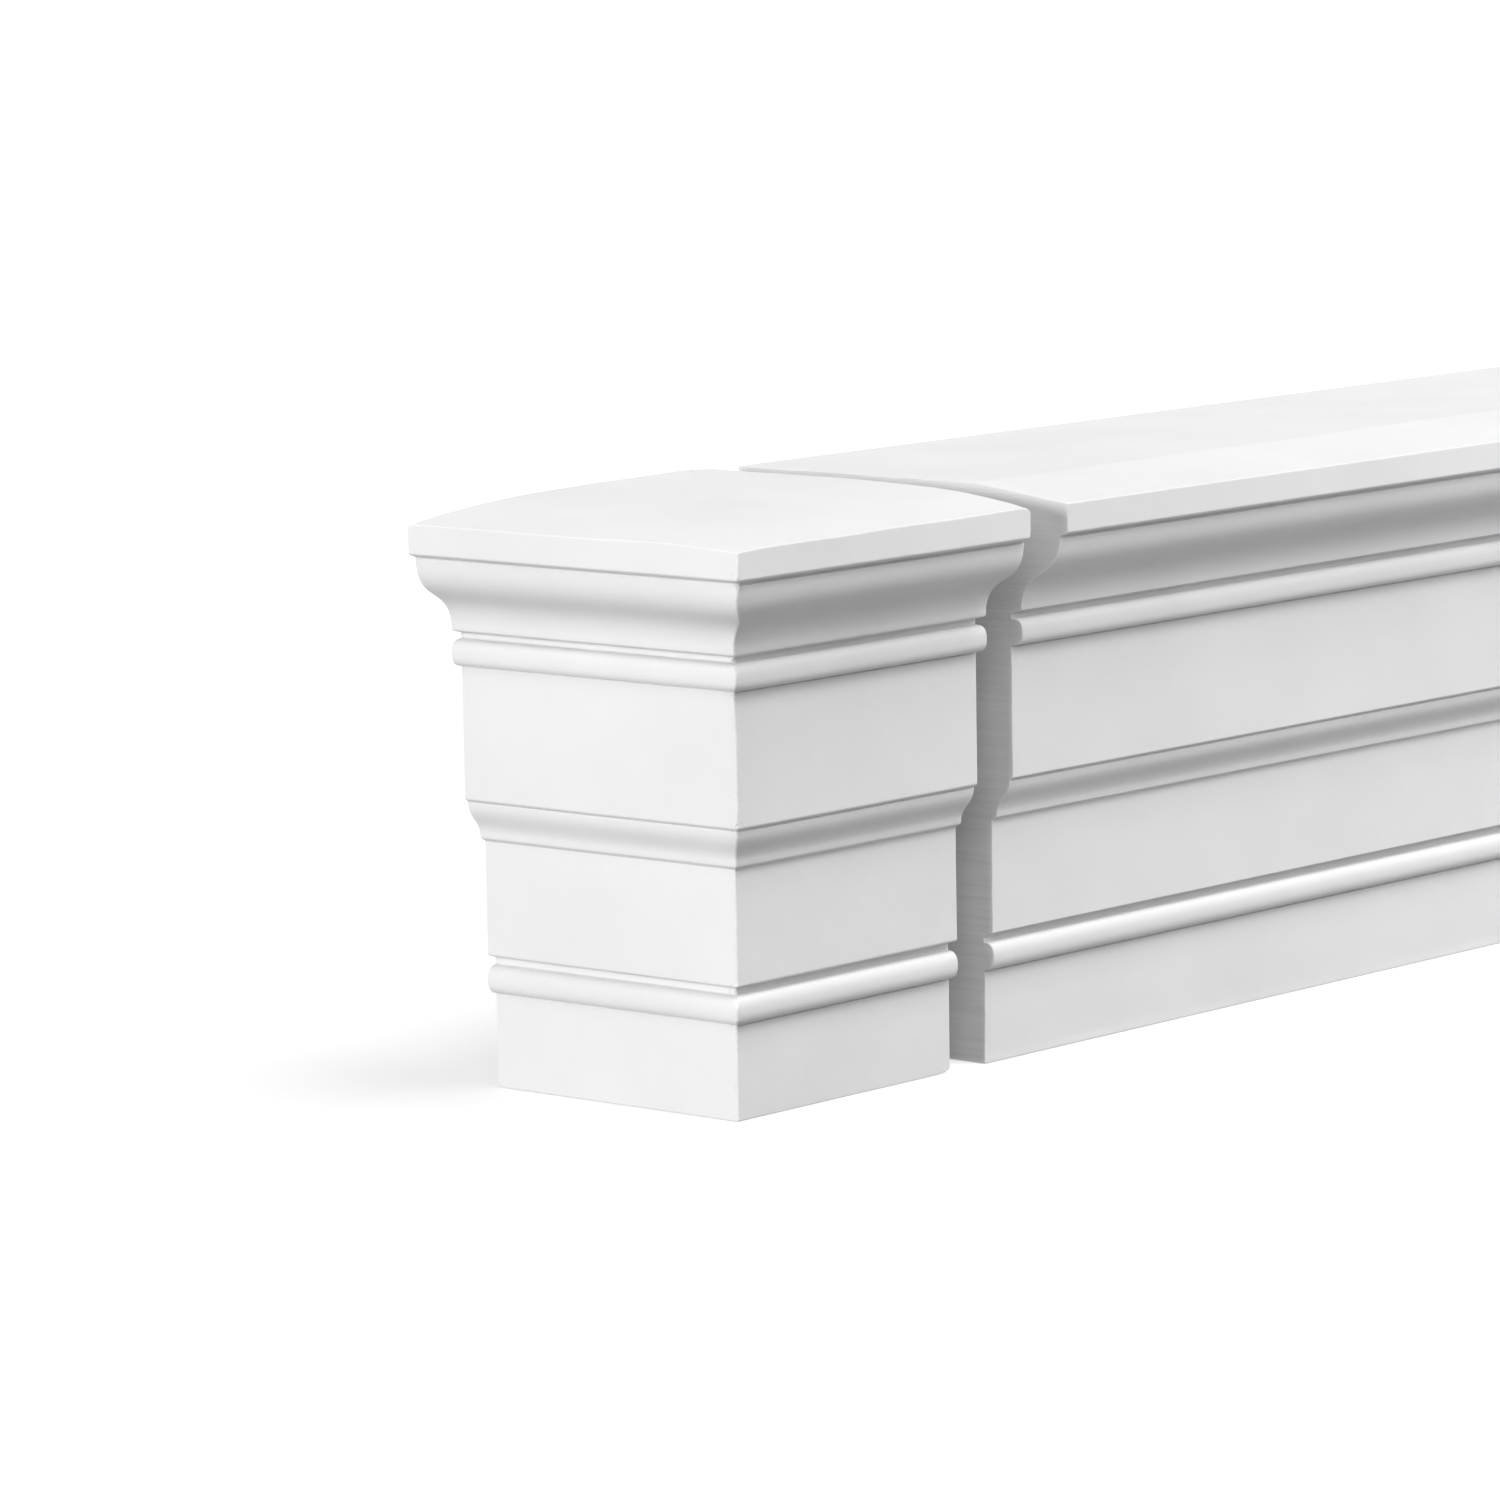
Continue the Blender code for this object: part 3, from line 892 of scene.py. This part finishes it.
def cut_material():
    """Bare cut face of the core: duller, with fine level cutting marks, and painted light that
    makes it paler near its top.
    """
    material, nodes, links = new_material("cut_core")
    shader = nodes["Principled BSDF"]
    place = nodes.new("ShaderNodeTexCoord").outputs["Object"]
    mapping = nodes.new("ShaderNodeMapping")
    mapping.inputs["Scale"].default_value = (14.0, 14.0, 520.0)
    links.new(place, mapping.inputs["Vector"])
    level_place = mapping.outputs["Vector"]
    marks = noise_node(nodes, links, level_place, scale=1.0, detail=3.0, roughness=0.6)
    grain = noise_node(nodes, links, place, scale=480.0, detail=4.0, roughness=0.6)
    tone = map_range(nodes, links, marks, low=0.3, high=0.7)
    colour = colour_mix(nodes, links, tone, *CUT_TONES)
    split = nodes.new("ShaderNodeSeparateXYZ")
    links.new(place, split.inputs[0])
    # Painted light: the cut face is painted paler towards its top, where more light falls into the
    # gap
    low, high = CUT_PAINTED_LIGHT_HEIGHTS
    painted_top_light = map_range(nodes, links, split.outputs["Z"], low, high, to_high=CUT_PAINTED_LIGHT_SHARE)
    colour = colour_mix(nodes, links, painted_top_light, colour, CUT_PAINTED_LIGHT_TONE)
    links.new(colour, shader.inputs["Base Color"])
    shader.inputs["Roughness"].default_value = 0.88
    shader.inputs["Specular IOR Level"].default_value = 0.15
    normal = bump_node(nodes, links, marks, distance=0.0002, strength=0.35)
    normal = bump_node(nodes, links, grain, distance=0.0002, strength=0.4, below=normal)
    links.new(normal, shader.inputs["Normal"])
    return material


def floor_material():
    """Plain pale studio floor."""
    material, nodes, links = new_material("pale_floor")
    shader = nodes["Principled BSDF"]
    place = nodes.new("ShaderNodeTexCoord").outputs["Object"]
    cloud = noise_node(nodes, links, place, scale=0.8, detail=2.0)
    colour = colour_mix(nodes, links, cloud, *FLOOR_TONES)
    links.new(colour, shader.inputs["Base Color"])
    shader.inputs["Roughness"].default_value = 0.9
    shader.inputs["Specular IOR Level"].default_value = 0.0
    shader.inputs["Emission Color"].default_value = (1, 1, 1, 1)
    shader.inputs["Emission Strength"].default_value = FLOOR_GLOW
    return material


def make_floor():
    signs = ((-1, -1), (1, -1), (1, 1), (-1, 1))
    corners = [(FLOOR_HALF_WIDTH * x, FLOOR_HALF_WIDTH * y, -FLOOR_DROP) for x, y in signs]
    mesh = bpy.data.meshes.new("floor")
    mesh.from_pydata(corners, [], [(0, 1, 2, 3)])
    mesh.materials.append(floor_material())
    floor = bpy.data.objects.new("floor", mesh)
    floor.visible_diffuse = False
    floor.visible_shadow = False
    bpy.context.scene.collection.objects.link(floor)


def make_sun(name, azimuth_degrees, elevation_degrees, breadth_degrees, strength):
    """A broad soft light from a direction given by its azimuth and elevation."""
    azimuth, elevation = math.radians(azimuth_degrees), math.radians(elevation_degrees)
    light = bpy.data.lights.new(name, "SUN")
    light.energy = strength
    light.angle = math.radians(breadth_degrees)
    sun = bpy.data.objects.new(name, light)
    level = math.cos(elevation)
    towards_light = Vector((
        math.cos(azimuth) * level,
        math.sin(azimuth) * level,
        math.sin(elevation),
    ))
    sun.rotation_mode = "QUATERNION"
    sun.rotation_quaternion = towards_light.to_track_quat("Z", "Y")
    bpy.context.scene.collection.objects.link(sun)


def make_panel():
    """A square soft panel in front that faces the moulding."""
    light = bpy.data.lights.new("front_panel", "AREA")
    light.energy = PANEL_POWER
    light.size = PANEL_SIZE
    panel = bpy.data.objects.new("front_panel", light)
    panel.location = PANEL_PLACE
    panel.rotation_mode = "QUATERNION"
    backwards = Vector(PANEL_PLACE) - Vector(PANEL_TARGET)
    panel.rotation_quaternion = backwards.to_track_quat("Z", "Y")
    bpy.context.scene.collection.objects.link(panel)


def grey(level):
    return (level, level, level, 1)


def make_world():
    """A white room whose parts each give an even light; seen directly it is plain white."""
    world = bpy.data.worlds.new("studio")
    world.use_nodes = True
    nodes, links = world.node_tree.nodes, world.node_tree.links
    direction = nodes.new("ShaderNodeTexCoord").outputs["Generated"]
    split = nodes.new("ShaderNodeSeparateXYZ")
    links.new(direction, split.inputs[0])
    upper = map_range(nodes, links, split.outputs["Z"], low=0.15, high=0.65)
    lower = map_range(nodes, links, split.outputs["Z"], low=-0.05, high=-0.35)
    colour = colour_mix(nodes, links, upper, grey(LIGHT_FROM_AROUND), grey(LIGHT_FROM_ABOVE))
    colour = colour_mix(nodes, links, lower, colour, grey(LIGHT_FROM_BELOW))
    seen_directly = nodes.new("ShaderNodeLightPath").outputs["Is Camera Ray"]
    colour = colour_mix(nodes, links, seen_directly, colour, grey(1.0))
    links.new(colour, nodes["Background"].inputs["Color"])
    bpy.context.scene.world = world


def make_camera():
    forward = Vector((
        math.sin(CAMERA_YAW) * math.cos(CAMERA_PITCH),
        math.cos(CAMERA_YAW) * math.cos(CAMERA_PITCH),
        -math.sin(CAMERA_PITCH),
    ))
    level_right = Vector((math.cos(CAMERA_YAW), -math.sin(CAMERA_YAW), 0))
    level_up = level_right.cross(forward)
    right = level_right * math.cos(CAMERA_ROLL) - level_up * math.sin(CAMERA_ROLL)
    up = level_right * math.sin(CAMERA_ROLL) + level_up * math.cos(CAMERA_ROLL)
    turn = Matrix((right, up, -forward)).transposed()
    data = bpy.data.cameras.new("camera")
    data.sensor_width = CAMERA_SENSOR
    data.lens = CAMERA_LENS
    data.clip_start = 0.05
    data.clip_end = 200.0
    camera = bpy.data.objects.new("camera", data)
    camera.matrix_world = Matrix.Translation(CAMERA_PLACE) @ turn.to_4x4()
    bpy.context.scene.collection.objects.link(camera)
    bpy.context.scene.camera = camera


def main():
    make_camera()
    materials = [primer_material(), cut_material()]
    pieces = {"end_piece": make_end_piece(materials), "moulding_run": make_run(materials)}
    for node, piece in pieces.items():
        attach(piece, "root")
        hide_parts(node)
    make_floor()
    for name, (azimuth, elevation, breadth, strength) in SUNS.items():
        make_sun(name, azimuth, elevation, breadth, strength)
    make_panel()
    make_world()
    scene = bpy.context.scene
    scene.view_settings.view_transform = "Standard"
    scene.view_settings.look = "None"


main()
